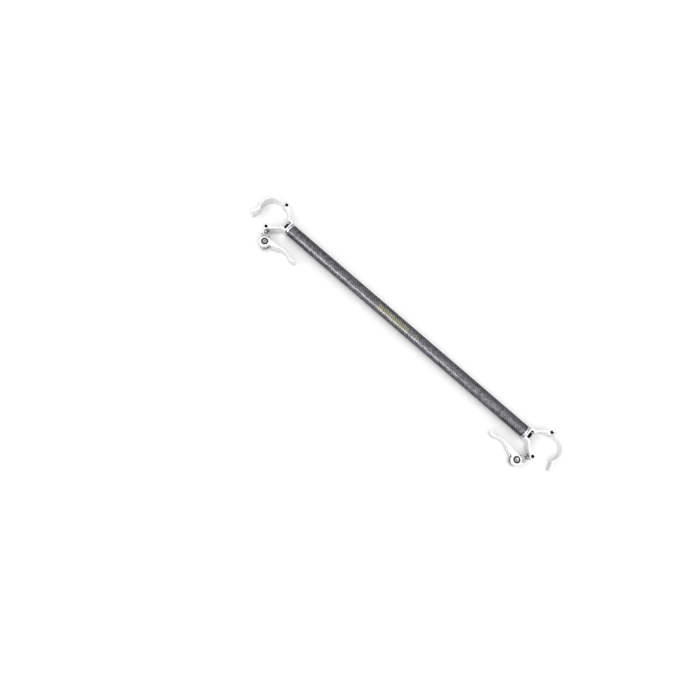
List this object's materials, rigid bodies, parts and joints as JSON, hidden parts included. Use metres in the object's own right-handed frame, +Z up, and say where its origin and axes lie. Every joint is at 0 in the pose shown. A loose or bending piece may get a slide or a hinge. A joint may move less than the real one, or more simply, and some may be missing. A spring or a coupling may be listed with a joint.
{
  "type": "cargo bar",
  "caption": "Straight carbon tube with a hinged quick-release ring clamp on each end, made to span two parallel round rails.",
  "frame": {"origin": "on the ground, under the middle of the bar's outline, with both clamp rings lying flat", "axes": "+X along the tube towards clamp b, +Y towards the jaw hinges, +Z up along the ring bores"},
  "size_m": [0.8146, 0.109, 0.03],
  "materials": {
    "carbon": "clear-coated twill weave",
    "polished_aluminium": "polished",
    "bright_steel": "turned",
    "black_steel": "black oxide"
  },
  "bodies": {
    "bar": {"carbon_tube": "carbon", "end_plug_a": "polished_aluminium", "mount_bolt_a": "black_steel", "spring_washer_a": "black_steel", "end_plug_b": "polished_aluminium", "mount_bolt_b": "black_steel", "spring_washer_b": "black_steel"},
    "clamp_a": {"clamp_saddle_a": "polished_aluminium", "jaw_pin_a": "black_steel", "swing_pin_a": "black_steel"},
    "jaw_a": {"clamp_jaw_a": "polished_aluminium"},
    "swing_a": {"swing_bolt_a": "bright_steel", "barrel_nut_a": "black_steel"},
    "washer_a": {"cam_washer_a": "bright_steel"},
    "lever_a": {"cam_lever_a": "polished_aluminium"},
    "clamp_b": {"clamp_saddle_b": "polished_aluminium", "jaw_pin_b": "black_steel", "swing_pin_b": "black_steel"},
    "jaw_b": {"clamp_jaw_b": "polished_aluminium"},
    "swing_b": {"swing_bolt_b": "bright_steel", "barrel_nut_b": "black_steel"},
    "washer_b": {"cam_washer_b": "bright_steel"},
    "lever_b": {"cam_lever_b": "polished_aluminium"}
  },
  "joints": [
    {"name": "clamp_a_swivel", "type": "hinge", "parent": "bar", "child": "clamp_a", "pos_m": [-0.33, 0.01675, 0.015], "axis": [1, 0, 0], "range_deg": [-180, 180]},
    {"name": "jaw_a_hinge", "type": "hinge", "parent": "clamp_a", "child": "jaw_a", "pos_m": [-0.36, 0.04875, 0.015], "axis": [0, 0, -1], "range_deg": [-30, 60]},
    {"name": "bolt_a_swing", "type": "hinge", "parent": "clamp_a", "child": "swing_a", "pos_m": [-0.36, -0.01525, 0.015], "axis": [0, 0, 1], "range_deg": [-119.2, 10]},
    {"name": "lever_a_cam", "type": "hinge", "parent": "swing_a", "child": "lever_a", "pos_m": [-0.34047, -0.04098, 0.015], "axis": [0, 0, 1], "range_deg": [-170, 5]},
    {"name": "washer_a_slide", "type": "slide", "parent": "swing_a", "child": "washer_a", "axis": [0.6046, -0.7965, 0], "range_m": [-0.00241, 0.0001]},
    {"name": "clamp_b_swivel", "type": "hinge", "parent": "bar", "child": "clamp_b", "pos_m": [0.33, 0.01675, 0.015], "axis": [1, 0, 0], "range_deg": [-180, 180]},
    {"name": "jaw_b_hinge", "type": "hinge", "parent": "clamp_b", "child": "jaw_b", "pos_m": [0.36, 0.04875, 0.015], "axis": [0, 0, 1], "range_deg": [-30, 60]},
    {"name": "bolt_b_swing", "type": "hinge", "parent": "clamp_b", "child": "swing_b", "pos_m": [0.36, -0.01525, 0.015], "axis": [0, 0, -1], "range_deg": [-119.2, 10]},
    {"name": "lever_b_cam", "type": "hinge", "parent": "swing_b", "child": "lever_b", "pos_m": [0.34047, -0.04098, 0.015], "axis": [0, 0, -1], "range_deg": [-170, 5]},
    {"name": "washer_b_slide", "type": "slide", "parent": "swing_b", "child": "washer_b", "axis": [-0.6046, -0.7965, 0], "range_m": [-0.00241, 0.0001]}
  ],
  "couplings": [
    {"joint": "washer_a_slide", "follows": "lever_a_cam", "m_per_rad": 0.00080888},
    {"joint": "washer_b_slide", "follows": "lever_b_cam", "m_per_rad": 0.00080888}
  ]
}
